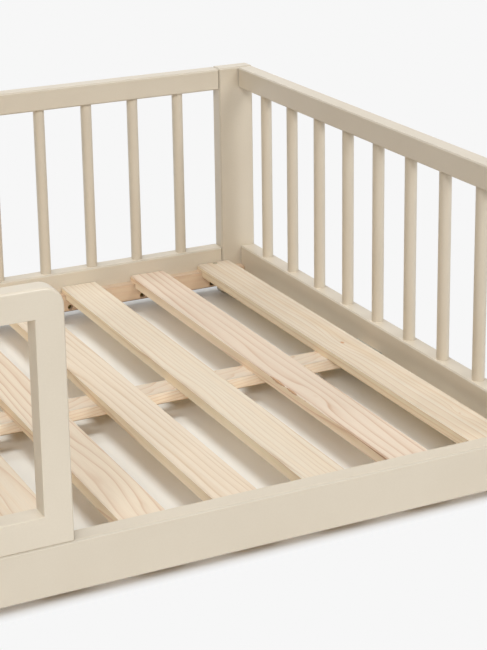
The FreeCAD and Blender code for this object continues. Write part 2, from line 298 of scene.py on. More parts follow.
def pine_group():
    """Growth rings of a board cut from a trunk: rings round a pith line that leans and wanders.

    Its points are in metres: X across the board, Y along it and Z up."""
    tree = bpy.data.node_groups.new("pine", "ShaderNodeTree")
    socket(tree, "Point", "NodeSocketVector")
    socket(tree, "Pith", "NodeSocketVector")
    socket(tree, "Lean", "NodeSocketVector")
    socket(tree, "Ring", "NodeSocketFloat", 0.006)
    socket(tree, "Wander", "NodeSocketFloat", 0.004)
    socket(tree, "Push", "NodeSocketFloat", 0.0)
    socket(tree, "Seed", "NodeSocketFloat", 0.0)
    socket(tree, "Line", "NodeSocketFloat", into=False)
    socket(tree, "Streak", "NodeSocketFloat", into=False)
    socket(tree, "Fibre", "NodeSocketFloat", into=False)
    graph = Graph(tree)
    given = graph.add("NodeGroupInput").outputs
    shift = [graph.math("MULTIPLY", given["Seed"], pace) for pace in (3.1, 1.7, 2.3)]
    point = graph.vector("ADD", given["Point"], graph.joined(*shift))

    def stretched(across, along, detail, roughness=0.5):
        """Noise drawn out along the board: how fast it changes across it and along it."""
        return graph.noise(graph.vector("MULTIPLY", point, (across, along, across)), detail=detail,
                           roughness=roughness)

    pith = graph.vector("ADD", given["Pith"],
                        graph.scaled(given["Lean"], graph.parts(given["Point"])["Y"]))
    drift = graph.add("ShaderNodeTexNoise")
    graph.feed(drift.inputs["Vector"], graph.vector("MULTIPLY", point, (14.0, 4.5, 14.0)))
    drift.inputs["Scale"].default_value = 1
    drift.inputs["Detail"].default_value = 2.5
    wander = graph.scaled(graph.vector("SUBTRACT", drift.outputs["Color"], (0.5, 0.5, 0.5)),
                          graph.math("MULTIPLY", given["Wander"], 2))
    offset = graph.vector("ADD", graph.vector("SUBTRACT", given["Point"], pith), wander)
    radius = graph.vector("LENGTH", graph.vector("MULTIPLY", offset, (1, 0, 1)), output="Value")

    count = graph.math("ADD", graph.math("DIVIDE", radius, given["Ring"]), given["Push"])
    count = graph.math("ADD", count, graph.math("MULTIPLY", stretched(40.0, 1.2, 1), 1.9))
    line = graph.ramp(graph.math("FRACT", count),
                      [(0.0, 0.0), (0.45, 0.02), (0.80, 0.34), (0.93, 1.0), (1.0, 0.0)])
    fade = graph.spread(stretched(30.0, 2.5, 2), 0.30, 0.62, 0.5, 1.0)
    line = graph.math("MULTIPLY", line, fade)

    result = graph.add("NodeGroupOutput").inputs
    graph.feed(result["Line"], line)
    graph.feed(result["Streak"], stretched(95.0, 1.6, 3, 0.6))
    graph.feed(result["Fibre"], stretched(1100.0, 26.0, 2))
    return tree


def knot_group():
    """A knot: how far it pushes the rings aside, and how strongly its own colour shows."""
    tree = bpy.data.node_groups.new("knot", "ShaderNodeTree")
    socket(tree, "Point", "NodeSocketVector")
    socket(tree, "Place", "NodeSocketVector")
    socket(tree, "Radius", "NodeSocketFloat", 0.003)
    socket(tree, "Rings", "NodeSocketFloat", 1.0)
    socket(tree, "Push", "NodeSocketFloat", into=False)
    socket(tree, "Core", "NodeSocketFloat", into=False)
    graph = Graph(tree)
    given = graph.add("NodeGroupInput").outputs
    offset = graph.vector("SUBTRACT", given["Point"], given["Place"])

    def reach(shape):
        length = graph.vector("LENGTH", graph.vector("MULTIPLY", offset, shape), output="Value")
        return graph.math("DIVIDE", length, given["Radius"])

    bend = graph.math("MULTIPLY", graph.math("POWER", reach((1.0, 0.22, 0.4)), 2), -0.05)
    result = graph.add("NodeGroupOutput").inputs
    graph.feed(result["Push"],
               graph.math("MULTIPLY", graph.math("POWER", math.e, bend), given["Rings"]))
    graph.feed(result["Core"],
               graph.spread(reach((1.0, 0.55, 0.4)), 0.5, 1.2, 1.0, 0.0, smooth=True))
    return tree


def wane_group():
    """A chip of bark edge that the plane missed, hanging down from the left top edge."""
    tree = bpy.data.node_groups.new("wane", "ShaderNodeTree")
    socket(tree, "Point", "NodeSocketVector")
    socket(tree, "Middle", "NodeSocketFloat", 0.0)
    socket(tree, "Length", "NodeSocketFloat", 0.02)
    socket(tree, "Width", "NodeSocketFloat", 0.004)
    socket(tree, "Inside", "NodeSocketFloat", into=False)
    socket(tree, "Rim", "NodeSocketFloat", into=False)
    graph = Graph(tree)
    given = graph.add("NodeGroupInput").outputs
    place = graph.parts(given["Point"])
    away = graph.math("SUBTRACT", place["Y"], given["Middle"])
    away = graph.math("DIVIDE", away, given["Length"])
    oval = graph.math("SUBTRACT", 1, graph.math("MULTIPLY", away, away))
    oval = graph.math("SQRT", graph.math("MAXIMUM", oval, 0))
    ragged = graph.noise(graph.vector("MULTIPLY", given["Point"], (60, 240, 60)), detail=2)
    width = graph.math("MULTIPLY", graph.math("MULTIPLY", oval, given["Width"]),
                       graph.spread(ragged, 0.3, 0.7, 0.8, 1.15))
    inwards = graph.math("MAXIMUM", graph.math("ADD", place["X"], SLAT_HALF_WIDTH), 0)
    below = graph.math("SUBTRACT", graph.math("MULTIPLY", inwards, 3), place["Z"])
    depth = graph.math("SUBTRACT", width, below)
    result = graph.add("NodeGroupOutput").inputs
    graph.feed(result["Inside"], graph.spread(depth, 0, 0.5 * MM))
    rim = graph.spread(graph.math("ABSOLUTE", depth), 0.1 * MM, 0.6 * MM, 1, 0)
    graph.feed(result["Rim"], graph.math("MULTIPLY", rim, graph.spread(width, 0, 1.5 * MM)))
    return tree


def crisp_group():
    """Normal that turns a board's narrow chamfers to the face above, so its edges look sharp."""
    tree = bpy.data.node_groups.new("crisp", "ShaderNodeTree")
    socket(tree, "Normal", "NodeSocketVector", into=False)
    graph = Graph(tree)
    normal = graph.vector("MULTIPLY", object_normal(graph), (1, 1, 1.5))
    size = graph.vector("ABSOLUTE", normal)
    square = graph.vector("MULTIPLY", size, size)
    steep = graph.vector("MULTIPLY", normal, graph.vector("MULTIPLY", square, square))
    result = graph.add("NodeGroupOutput").inputs
    graph.feed(result["Normal"], graph.vector("NORMALIZE", steep))
    return tree


CRISP = crisp_group()
PINE = pine_group()
KNOT = knot_group()
WANE = wane_group()
WARM = (222, 190, 152)             # long warm streaks
KNOT_COLOUR = srgb(200, 154, 116)
WANE_COLOUR = srgb(210, 170, 134)
WANE_RIM_COLOUR = srgb(192, 146, 110)
UNDERCUT_COLOUR = srgb(186, 146, 112)
GAP_COLOUR = srgb(70, 52, 38)      # shadow in a slat's joint with the beam
SIDE_PAINTED_LIGHT = (1.24, 1.21, 1.12)     # painted light: the planed sides are made paler than the face
UNDERSIDE_PAINTED_SHADE = (0.95, 0.73, 0.44)     # painted shade: the face turned to the floor is darker and more ochre
TEAR_RUN_IN = 25                   # millimetres from a torn strip's start to its full strength
FADE_REACH = 0.45                  # metres from a slat's middle to where it stops fading


def board_point(graph, centre, along):
    """The point seen from a board's centre: X across the board, Y along it and Z up."""
    point = graph.vector("SUBTRACT", object_point(graph), tuple(centre))
    if along == 1:
        return point
    parts = graph.parts(point)
    return graph.joined(parts["Y"], parts["X"], parts["Z"])


def in_section(across, up):
    """Millimetres in a board's cross-section as a vector."""
    return (across * MM, 0, up * MM)


def knots(graph, point, places):
    """How far all the knots push the rings aside, and how strongly their own colour shows."""
    push, core = 0.0, 0.0
    for across, length, radius, rings, dark in places:
        knot = graph.group(KNOT, Point=point, Place=(across * MM, length * MM, 0),
                           Radius=radius * MM, Rings=rings)
        push = graph.math("ADD", knot["Push"], push)
        core = graph.math("MAXIMUM", graph.math("MULTIPLY", knot["Core"], dark), core)
    return push, core


# Painted light: the sides of a board made paler.
def paint_side_light(graph, colour, facing, look):
    side_on = graph.math("ABSOLUTE", facing)
    return graph.mix(graph.spread(side_on, 0.78, 0.95), colour,
                     (*look.get("side_painted_light", SIDE_PAINTED_LIGHT), 1), blend="MULTIPLY")


def paint_underside_shade(graph, colour, facing, length, look):
    """Painted shade on the ochre underside, with a painted shadow along the joint where the slat lies
    on the beam.
    """
    underneath = graph.spread(facing, -0.8, -0.4, 1, 0)
    colour = graph.mix(underneath, colour, (*UNDERSIDE_PAINTED_SHADE, 1), blend="MULTIPLY")
    if "gap" in look:
        over_beam = graph.spread(graph.math("ABSOLUTE", length), BEAM_HALF_WIDTH - MM,
                                 BEAM_HALF_WIDTH + MM, look["gap"], 0)
        colour = graph.mix(graph.math("MULTIPLY", underneath, over_beam), colour, GAP_COLOUR)
    return colour


def tear(graph, colour, place, facing, places):
    """Torn strips under the left top edge, each growing deeper from its start to its end."""
    left_side = graph.spread(facing, -0.9, -0.5, 1, 0)
    forward = graph.math("MULTIPLY", place["Y"], -1)
    for start, end, depth in places:
        reach_down = graph.spread(place["Y"], start * MM, end * MM, 0.4 * MM, depth * MM)
        torn = graph.spread(graph.math("ADD", reach_down, place["Z"]), 0, 0.8 * MM)
        begun = graph.spread(forward, -start * MM, (TEAR_RUN_IN - start) * MM)
        torn = graph.math("MULTIPLY", graph.math("MULTIPLY", torn, begun), left_side)
        colour = graph.mix(torn, colour, UNDERCUT_COLOUR)
    return colour


def chip(graph, colour, point, places):
    """Chips along the left top edge: the colour with them, and where wood is missing."""
    missing = 0.0
    for middle_along, half_length, width in places:
        wane = graph.group(WANE, Point=point, Middle=middle_along * MM, Length=half_length * MM,
                           Width=width * MM)
        colour = graph.mix(wane["Inside"], colour, WANE_COLOUR)
        colour = graph.mix(wane["Rim"], colour, WANE_RIM_COLOUR)
        missing = graph.math("MAXIMUM", wane["Inside"], missing)
    return colour, missing


def pine_material(name, centre, look, along=1):
    """Planed bare pine for a board that runs along one axis (0 or 1) through its centre."""
    material, graph, shader = new_material(name)
    point = board_point(graph, centre, along)
    place = graph.parts(point)
    facing = graph.parts(object_normal(graph))
    push, core = knots(graph, point, look.get("knots", ()))
    pine = graph.group(PINE, Point=point, Pith=in_section(*look["pith"]),
                       Lean=in_section(*look["lean"]), Ring=look["ring"] * MM,
                       Wander=look["wander"] * MM, Seed=look["seed"], Push=push)

    streak = graph.spread(pine["Streak"], 0.42, 0.72, 0, look["streak"])
    colour = graph.mix(streak, srgb(*look["pale"]), srgb(*look.get("warm", WARM)))
    colour = graph.mix(graph.math("MULTIPLY", pine["Line"], look["contrast"]), colour,
                       srgb(*look["line"]))
    colour = graph.mix(core, colour, KNOT_COLOUR)
    colour = paint_side_light(graph, colour, facing["X" if along == 1 else "Y"], look)
    colour = paint_underside_shade(graph, colour, facing["Z"], place["Y"], look)
    if "fade" in look:
        fade = look["fade"]
        colour = graph.scaled(colour, graph.spread(place["Y"], -FADE_REACH, FADE_REACH,
                                                   1 + fade, 1 - fade))
    if "undercut" in look:
        colour = tear(graph, colour, place, facing["X"], look["undercut"])
    colour, missing = chip(graph, colour, point, look.get("wane", ()))
    fibre = graph.spread(pine["Fibre"], 0.25, 0.75, 0.955, 1.035)
    graph.feed(shader.inputs["Base Color"], graph.scaled(colour, fibre))

    graph.feed(shader.inputs["Roughness"], graph.spread(pine["Line"], 0, 1, 0.60, 0.50))
    shader.inputs["Specular IOR Level"].default_value = 0.35
    relief = graph.math("ADD", graph.math("MULTIPLY", pine["Line"], 0.35),
                        graph.math("MULTIPLY", pine["Fibre"], 0.5))
    relief = graph.math("SUBTRACT", relief, graph.math("MULTIPLY", missing, 6))
    crisp = graph.group(CRISP)["Normal"]
    graph.feed(shader.inputs["Normal"], graph.bump(relief, 0.22, 0.25 * MM, crisp))
    return material


# How each slat was cut, from the right end. Millimetres from the middle of the slat's top face:
# pith = where the middle of the trunk lies, lean = how far it shifts per metre of slat,
# wander = how far it strays from that line, ring = width of one year,
# knots = (across, along, radius, rings pushed aside, how dark),
# wane = (middle along, half length, width), undercut = (start, end, depth at the end).
# The rest are colours and shares: pale = the wood, line = the rings, warm = the streaks,
# contrast and streak = how strongly rings and streaks show, seed = which part of the noise,
# fade = how much paler the front end is, gap = how dark the painted shadow in the joint with the beam
# is.
CREAM, CREAM_LINE = (228, 215, 194), (203, 176, 147)
PINK, PINK_LINE = (228, 211, 191), (200, 165, 136)
SLAT_LOOKS = {
    1: dict(pith=(-90, -75), lean=(-12, 10), ring=6.5, pale=(225, 212, 192), line=(203, 174, 142),
            warm=(214, 188, 152), streak=0.55, contrast=0.85, wander=3.5, seed=1.3, fade=0.1,
            knots=[(1.7, -7, 3.0, 1.3, 1.0), (8, -330, 1.2, 0.9, 0.8)]),
    2: dict(pith=(80, -75), lean=(14, -10), ring=10, pale=PINK, line=PINK_LINE,
            warm=(220, 195, 170), streak=0.35, contrast=0.95, wander=3.5, seed=4.4,
            knots=[(-12, -180, 3.4, 0.8, 0.12)],
            wane=[(-99, 26, 4.5), (-144, 19, 4), (-184, 7, 2)], undercut=[(-232, -420, 5.0)]),
    3: dict(pith=(120, -50), lean=(6, 8), ring=7.5, pale=CREAM, line=CREAM_LINE, streak=0.25,
            contrast=0.9, wander=3, seed=7.7, knots=[(-14, -80, 4.0, 0.7, 0.0)], gap=0.5),
    4: dict(pith=(110, -40), lean=(-16, 10), ring=11, pale=(231, 216, 195), line=(205, 178, 146),
            streak=0.3, contrast=0.85, wander=4, seed=9.2, gap=1.0),
    5: dict(pith=(60, -44), lean=(32, 20), ring=9.5, pale=(230, 214, 191), line=(200, 164, 134),
            warm=(222, 198, 172), streak=0.4, contrast=0.95, wander=6, seed=12.6, gap=0.5,
            knots=[(4, -300, 4.5, 1.0, 0.0)]),
    6: dict(pith=(14, -30), lean=(30, -26), ring=12, pale=(227, 212, 190), line=(206, 174, 144),
            streak=0.4, contrast=0.9, wander=6, seed=15.1),
}


def any_look(number):
    """A plausible cut for a slat that the photograph doesn't show."""
    dice = random.Random(number)
    pale, line = dice.choice([(CREAM, CREAM_LINE), (PINK, PINK_LINE)])
    return dict(pith=(dice.uniform(-70, 70), dice.uniform(-55, -25)),
                lean=(dice.uniform(-30, 30), dice.uniform(-20, 20)), ring=dice.uniform(5, 12),
                pale=pale, line=line, streak=dice.uniform(0.2, 0.7),
                contrast=dice.uniform(0.6, 0.9), wander=dice.uniform(3, 6), seed=17 + number,
                knots=[(dice.uniform(-18, 18), dice.uniform(-380, 380), dice.uniform(1.5, 4), 1.1,
                        0.85)])


# ---------------------------------------------------------------- metal

def metal_material(name, colour, roughness):
    material, graph, shader = new_material(name)
    point = object_point(graph)
    cloud = graph.noise(point, 260)
    darker = tuple(0.72 * channel for channel in colour[:3]) + (1,)
    graph.feed(shader.inputs["Base Color"],
               graph.mix(graph.spread(cloud, 0.35, 0.75), colour, darker))
    shader.inputs["Metallic"].default_value = 1
    graph.feed(shader.inputs["Roughness"],
               graph.spread(cloud, 0.3, 0.7, roughness - 0.06, roughness + 0.08))
    graph.feed(shader.inputs["Normal"], graph.bump(graph.noise(point, 2600, 2), 0.12, 0.1 * MM))
    return material


ZINC = metal_material("zinc_plate", srgb(196, 197, 190), 0.34)
DULL_ZINC = metal_material("dull_zinc_plate", srgb(172, 162, 134), 0.42)
YELLOW_ZINC = metal_material("yellow_zinc_plate", srgb(150, 138, 84), 0.36)


# ---------------------------------------------------------------- edges of carried-over boards

CHAMFER_ANGLES = (0.6, 1.0)      # radians between the faces on the two sides of a chamfer's edge
SQUARE_INPUT = "Socket_1"        # what the modifier calls the group's second input


def edge_group():
    """Welds the loaded mesh and marks the edges to round: chamfers fully, square ones in part."""
    tree = bpy.data.node_groups.new("edges", "GeometryNodeTree")
    tree.is_modifier = True
    socket(tree, "Geometry", "NodeSocketGeometry")
    socket(tree, "Square", "NodeSocketFloat", 0.0)
    socket(tree, "Geometry", "NodeSocketGeometry", into=False)
    graph = Graph(tree)

    def compare(value, limit, operation):
        node = graph.add("FunctionNodeCompare", data_type="FLOAT", operation=operation)
        graph.feed(node.inputs[0], value)
        graph.feed(node.inputs[1], limit)
        return node.outputs[0]

    def shade(geometry, domain, smooth, selection=True):
        node = graph.add("GeometryNodeSetShadeSmooth", domain=domain)
        graph.feed(node.inputs["Geometry"], geometry)
        graph.feed(node.inputs["Selection"], selection)
        graph.feed(node.inputs["Shade Smooth"], smooth)
        return node.outputs[0]

    given = graph.add("NodeGroupInput").outputs
    weld = graph.add("GeometryNodeMergeByDistance")
    graph.feed(weld.inputs["Geometry"], given["Geometry"])
    graph.feed(weld.inputs["Distance"], 0.01 * MM)
    plain = graph.add("GeometryNodeRemoveAttribute")
    graph.feed(plain.inputs["Geometry"], weld.outputs[0])
    graph.feed(plain.inputs["Name"], "custom_normal")

    angle = graph.add("GeometryNodeInputMeshEdgeAngle").outputs["Unsigned Angle"]
    chamfer = graph.math("MULTIPLY", compare(angle, CHAMFER_ANGLES[0], "GREATER_THAN"),
                         compare(angle, CHAMFER_ANGLES[1], "LESS_THAN"))
    square = compare(angle, CHAMFER_ANGLES[1], "GREATER_EQUAL")
    weight = graph.math("ADD", chamfer, graph.math("MULTIPLY", square, given["Square"]))
    store = graph.add("GeometryNodeStoreNamedAttribute", data_type="FLOAT", domain="EDGE")
    graph.feed(store.inputs["Geometry"], plain.outputs[0])
    graph.feed(store.inputs["Name"], "bevel_weight_edge")
    graph.feed(store.inputs["Value"], weight)

    shaded = shade(store.outputs[0], "FACE", True)
    shaded = shade(shaded, "EDGE", True)
    shaded = shade(shaded, "EDGE", False, selection=square)
    graph.feed(graph.add("NodeGroupOutput").inputs["Geometry"], shaded)
    return tree


EDGES = edge_group()


def dress(name, material, round_by=0.6, square=0.0):
    """Finish for a carried-over CAD node: its material and its edges rounded, in millimetres."""
    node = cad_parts[name]
    node.data.materials.clear()
    node.data.materials.append(material)
    edges = node.modifiers.new("edges", "NODES")
    edges.node_group = EDGES
    edges[SQUARE_INPUT] = square
    bevel = node.modifiers.new("round", "BEVEL")
    bevel.limit_method = "WEIGHT"
    bevel.width = round_by * MM
    bevel.segments = 3
    bevel.harden_normals = True


# ---------------------------------------------------------------- carried-over boards

for side in ("back", "front"):
    for hand in ("left", "right"):
        dress("%s_%s_post" % (side, hand), POST_PAINT)
for rail in ("back_top_rail", "back_base_rail", "front_base_rail"):
    dress(rail, RAIL_PAINTS[0])
for hand in ("left", "right"):
    dress(hand + "_top_rail", RAIL_PAINTS[1])
    dress(hand + "_base_rail", RAIL_PAINTS[1])
for bars in ("back_bars", "left_bars", "right_bars", "barrier_bars"):
    dress(bars, BAR_PAINT)

SLAT_COUNT = 15
for number in range(1, SLAT_COUNT + 1):
    name = "slat_%02d" % number
    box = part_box(name)
    top = Vector((middle(box).x, middle(box).y, box[1].z))
    dress(name, pine_material("pine_" + name, top, SLAT_LOOKS.get(number) or any_look(number)),
          round_by=0.5, square=0.6)

# side_painted_light: painted light on the sides of the beam and the cleat
BEAM_LOOK = dict(pith=(6, 34), lean=(24, 105), ring=4.6, pale=(217, 203, 184), line=(199, 168, 137),
                 warm=(222, 196, 164), streak=0.4, contrast=0.85, wander=5, seed=31,
                 side_painted_light=(1.42, 1.41, 1.40))
CLEAT_LOOK = dict(pith=(50, 14), lean=(6, 10), ring=9, pale=(209, 186, 160), line=(188, 154, 124),
                  warm=(198, 164, 134), streak=0.6, contrast=0.4, wander=3, seed=35,
                  side_painted_light=(1.16, 1.12, 1.08), knots=[(8, 722, 1.4, 0.6, 0.85)])
for name, material_name in (("centre_beam", "pine_beam"), ("beam_foot", "pine_foot")):
    dress(name, pine_material(material_name, middle(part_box(name)), BEAM_LOOK, along=0))
for hand in ("left", "right"):
    dress(hand + "_beam_hanger", ZINC, round_by=0.3, square=1.0)


# ---------------------------------------------------------------- tools for modelled pieces

SMOOTH_ANGLE = 0.7              # radians: faces that meet at less than this shade as one
TINY = 1e-6                     # a difference below this is rounding


def mesh_object(name, mesh, material):
    """Object for a mesh that was edited in place, riding the bed."""
    for edge in mesh.edges:
        edge.smooth = edge.calc_face_angle(0) < SMOOTH_ANGLE
    data = bpy.data.meshes.new(name)
    mesh.to_mesh(data)
    mesh.free()
    for polygon in data.polygons:
        polygon.use_smooth = True
    data.materials.append(material)
    piece = bpy.data.objects.new(name, data)
    bpy.context.scene.collection.objects.link(piece)
    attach(piece, "root")
    return piece


def extrude(mesh, faces):
    """Extrudes faces where they are and returns the vertices to move."""
    grown = bmesh.ops.extrude_face_region(mesh, geom=faces)["geom"]
    return [item for item in grown if isinstance(item, bmesh.types.BMVert)]


def round_edges(mesh, edges, radius, segments):
    bmesh.ops.bevel(mesh, geom=edges, offset=radius, segments=segments, profile=0.5,
                    affect="EDGES")


# ---------------------------------------------------------------- barrier frame

# How its rims are rounded: (which rims, radius, segments).
BARRIER_RIMS = [("outside", 3.2 * MM, 5), ("opening", 1.2 * MM, 3), ("foot", 0.8 * MM, 3)]
RIM_ANGLE = 0.5                 # radians: flush faces and the steps of a round meet at less
JOINT_GAP = 0.8 * MM            # fine shadow line where the barrier stands on the rail
JOINT_INSET = 1.6 * MM
CORNER_RADIUS = 24 * MM
CORNER_STEPS = 12


def barrier_frame():
    """The glued and painted barrier frame: no joint shows, all rims are softly rounded."""
    low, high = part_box("barrier_base_rail")[0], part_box("barrier_top_rail")[1]
    low.z += JOINT_GAP
    inner_low = Vector((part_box("barrier_post_upright")[1].x, 0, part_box("barrier_base_rail")[1].z))
    inner_high = Vector((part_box("barrier_free_upright")[0].x, 0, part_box("barrier_top_rail")[0].z))
    arc = []
    for step in range(CORNER_STEPS + 1):
        angle = step / CORNER_STEPS * math.pi / 2
        arc.append((high.x - CORNER_RADIUS * (1 - math.cos(angle)),
                    high.z - CORNER_RADIUS * (1 - math.sin(angle))))
    outer = [(low.x, low.z), (high.x, low.z)] + arc + [(low.x, high.z)]
    inner = [(inner_low.x, inner_low.z), (inner_high.x, inner_low.z),
             (inner_high.x, inner_high.z), (inner_low.x, inner_high.z)]
    mesh = bmesh.new()
    front_out = [mesh.verts.new((x, low.y, z)) for x, z in outer]
    front_in = [mesh.verts.new((x, low.y, z)) for x, z in inner]
    top_start = 2 + CORNER_STEPS      # index in outer where the top edge starts
    faces = [
        [front_out[0], front_out[1], front_in[1], front_in[0]],
        [front_out[1], front_out[2], front_in[2], front_in[1]],
        front_out[2:top_start + 1] + [front_in[2]],
        [front_out[top_start], front_out[-1], front_in[3], front_in[2]],
        [front_out[-1], front_out[0], front_in[0], front_in[3]],
    ]
    made = [mesh.faces.new(corners) for corners in faces]
    bmesh.ops.translate(mesh, verts=extrude(mesh, made), vec=(0, high.y - low.y, 0))
    bmesh.ops.recalc_face_normals(mesh, faces=mesh.faces)

    def is_rim(edge):
        """A sharp edge that lies in the front face or in the back face."""
        in_plane = all(abs(vert.co.y - edge.verts[0].co.y) < TINY for vert in edge.verts)
        return in_plane and len(edge.link_faces) == 2 and edge.calc_face_angle() > RIM_ANGLE

    def which(edge):
        """Which rim an edge belongs to: the foot, the opening or the outside."""
        points = [vert.co for vert in edge.verts]
        if all(abs(point.z - low.z) < TINY for point in points):
            return "foot"
        if all(inner_low.x - TINY < point.x < inner_high.x + TINY
               and inner_low.z - TINY < point.z < inner_high.z + TINY for point in points):
            return "opening"
        return "outside"

    for where, radius, segments in BARRIER_RIMS:
        rims = [edge for edge in mesh.edges if is_rim(edge) and which(edge) == where]
        round_edges(mesh, rims, radius, segments)
    bottom = [face for face in mesh.faces
              if face.normal.z < -0.99 and face.calc_center_median().z < low.z + TINY]
    bmesh.ops.inset_region(mesh, faces=bottom, thickness=JOINT_INSET)
    foot = extrude(mesh, bottom)
    bmesh.ops.delete(mesh, geom=bottom, context="FACES_ONLY")
    bmesh.ops.translate(mesh, verts=foot, vec=(0, 0, -JOINT_GAP))
    bmesh.ops.recalc_face_normals(mesh, faces=mesh.faces)
    piece = mesh_object("barrier_frame", mesh, BARRIER_PAINT)
    weighted = piece.modifiers.new("even shading", "WEIGHTED_NORMAL")
    weighted.keep_sharp = True
    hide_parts("barrier_base_rail", "barrier_top_rail", "barrier_post_upright",
                "barrier_free_upright")


barrier_frame()


# ---------------------------------------------------------------- screws

HEAD_SIDES = 48
HEAD_RINGS = 10

# A kind of screw, in millimetres: profile = (radius, height) pairs of its head from the middle
# out, recess = how far out from the middle the drive reaches at an angle, depth = of the recess.
Screw = namedtuple("Screw", "profile recess depth metal")


def cross(reach, half_width):
    """Cross drive: four arms of the given reach and half width."""
    def limit(angle):
        turn = min(abs(math.cos(angle)), abs(math.sin(angle)))
        return reach if turn < TINY else min(reach, half_width / turn)
    return limit


def hexagon(half_flat):
    """Hex socket, measured from its middle to a flat."""
    def limit(angle):
        step = math.pi / 3
        return half_flat / math.cos((angle + step / 2) % step - step / 2)
    return limit


def domed(radius, height):
    """Pan head: nearly flat on top, round at its rim, and closed a little below."""
    points = [(0, height)]
    for step in range(1, HEAD_RINGS):
        share = step / HEAD_RINGS
        points.append((radius * share, height * (1 - share ** 5)))
    return points + [(radius, 0), (radius, -0.6)]


def flat(radius, edge, thick):
    """Flat head with an eased rim; the edge has to be thinner than the head."""
    inner = radius - edge
    points = [(0, thick)]
    points += [(inner * step / HEAD_RINGS, thick) for step in range(1, HEAD_RINGS + 1)]
    return points + [(radius - edge * 0.3, thick - edge * 0.3), (radius, thick - edge), (radius, 0)]


COUNTERSUNK = flat(4.2, 0.2, 0.3) + [(2.0, -2.2)]
CONNECTOR_RADIUS, CONNECTOR_THICK = 7.5, 2.5       # millimetres
CLEAT_SCREW = Screw(domed(3.9, 2.6), cross(2.3, 0.55), 1.2, YELLOW_ZINC)
SLAT_SCREW = Screw(COUNTERSUNK, cross(2.6, 0.6), 1.0, DULL_ZINC)
HANGER_SCREW = Screw(domed(3.6, 2.4), cross(2.2, 0.55), 1.1, ZINC)
CONNECTOR = Screw(flat(CONNECTOR_RADIUS, 0.8, CONNECTOR_THICK), hexagon(2.5), 2.0, ZINC)


def turned_head(mesh, screw, place, direction, spin):
    """Adds a screw's head, turned so that its +Z points in the given direction."""
    upright = Vector(direction).to_track_quat("Z", "Y").to_matrix().to_4x4()
    turn = Matrix.Translation(place) @ upright @ Matrix.Rotation(spin, 4, "Z")
    centre = mesh.verts.new(turn @ Vector((0, 0, (screw.profile[0][1] - screw.depth) * MM)))
    previous = None
    for radius, height in screw.profile[1:]:
        ring = []
        for step in range(HEAD_SIDES):
            angle = math.tau * step / HEAD_SIDES
            sunk = screw.depth if radius < screw.recess(angle) else 0
            point = (radius * math.cos(angle), radius * math.sin(angle), height - sunk)
            ring.append(mesh.verts.new(turn @ (Vector(point) * MM)))
        for step in range(HEAD_SIDES):
            after = (step + 1) % HEAD_SIDES
            if previous is None:
                mesh.faces.new((centre, ring[step], ring[after]))
            else:
                mesh.faces.new((previous[step], ring[step], ring[after], previous[after]))
        previous = ring
    mesh.faces.new(list(reversed(previous)))


def screws(name, screw, places, direction):
    """One object with the same screw head at several places, each turned by chance."""
    dice = random.Random(name)
    mesh = bmesh.new()
    for place in places:
        turned_head(mesh, screw, Vector(place), direction, dice.uniform(0, math.tau))
    bmesh.ops.recalc_face_normals(mesh, faces=mesh.faces)
    return mesh_object(name, mesh, screw.metal)


# ---------------------------------------------------------------- cleats with sunk screws

HOLE_RADIUS = 4.6 * MM
HOLE_DEPTH = 7 * MM
HOLE_LEVEL = 29.5 * MM          # above the floor
HOLE_FIRST = 885.8 * MM         # the rightmost hole, then one every pitch
HOLE_PITCH = 133.4 * MM
HOLE_COUNT = 14
HOLE_SIDES = 32
CELL = 6.5 * MM                 # half the square of face that a hole is cut from
CLEAT_ROUND = 1.5 * MM          # along its long edges and its ends


def in_hole(edge, face):
    """Whether an edge belongs to a hole in the face at this Y: behind it or inside its square."""
    points = [vert.co for vert in edge.verts]
    return (any(abs(point.y - face) > TINY and abs(point.z - HOLE_LEVEL) < CELL for point in points)
            or all(abs(point.z - HOLE_LEVEL) < CELL - TINY for point in points))


def cut_hole(mesh, corners, centre, face, inward):
    """Fills a square of the face round a blind hole."""
    rim, floor_ring = [], []
    for step in range(HOLE_SIDES):
        angle = math.tau * (step / HOLE_SIDES - 3 / 8)
        x = centre + HOLE_RADIUS * math.cos(angle)
        z = HOLE_LEVEL + HOLE_RADIUS * math.sin(angle)
        rim.append(mesh.verts.new((x, face, z)))
        floor_ring.append(mesh.verts.new((x, face - inward * HOLE_DEPTH, z)))
    quarter = HOLE_SIDES // 4
    for side in range(4):
        arc = [rim[(side * quarter + step) % HOLE_SIDES] for step in range(quarter + 1)]
        mesh.faces.new([corners[side], corners[(side + 1) % 4]] + arc[::-1])
    for step in range(HOLE_SIDES):
        after = (step + 1) % HOLE_SIDES
        mesh.faces.new((rim[step], rim[after], floor_ring[after], floor_ring[step]))
    mesh.faces.new(floor_ring)


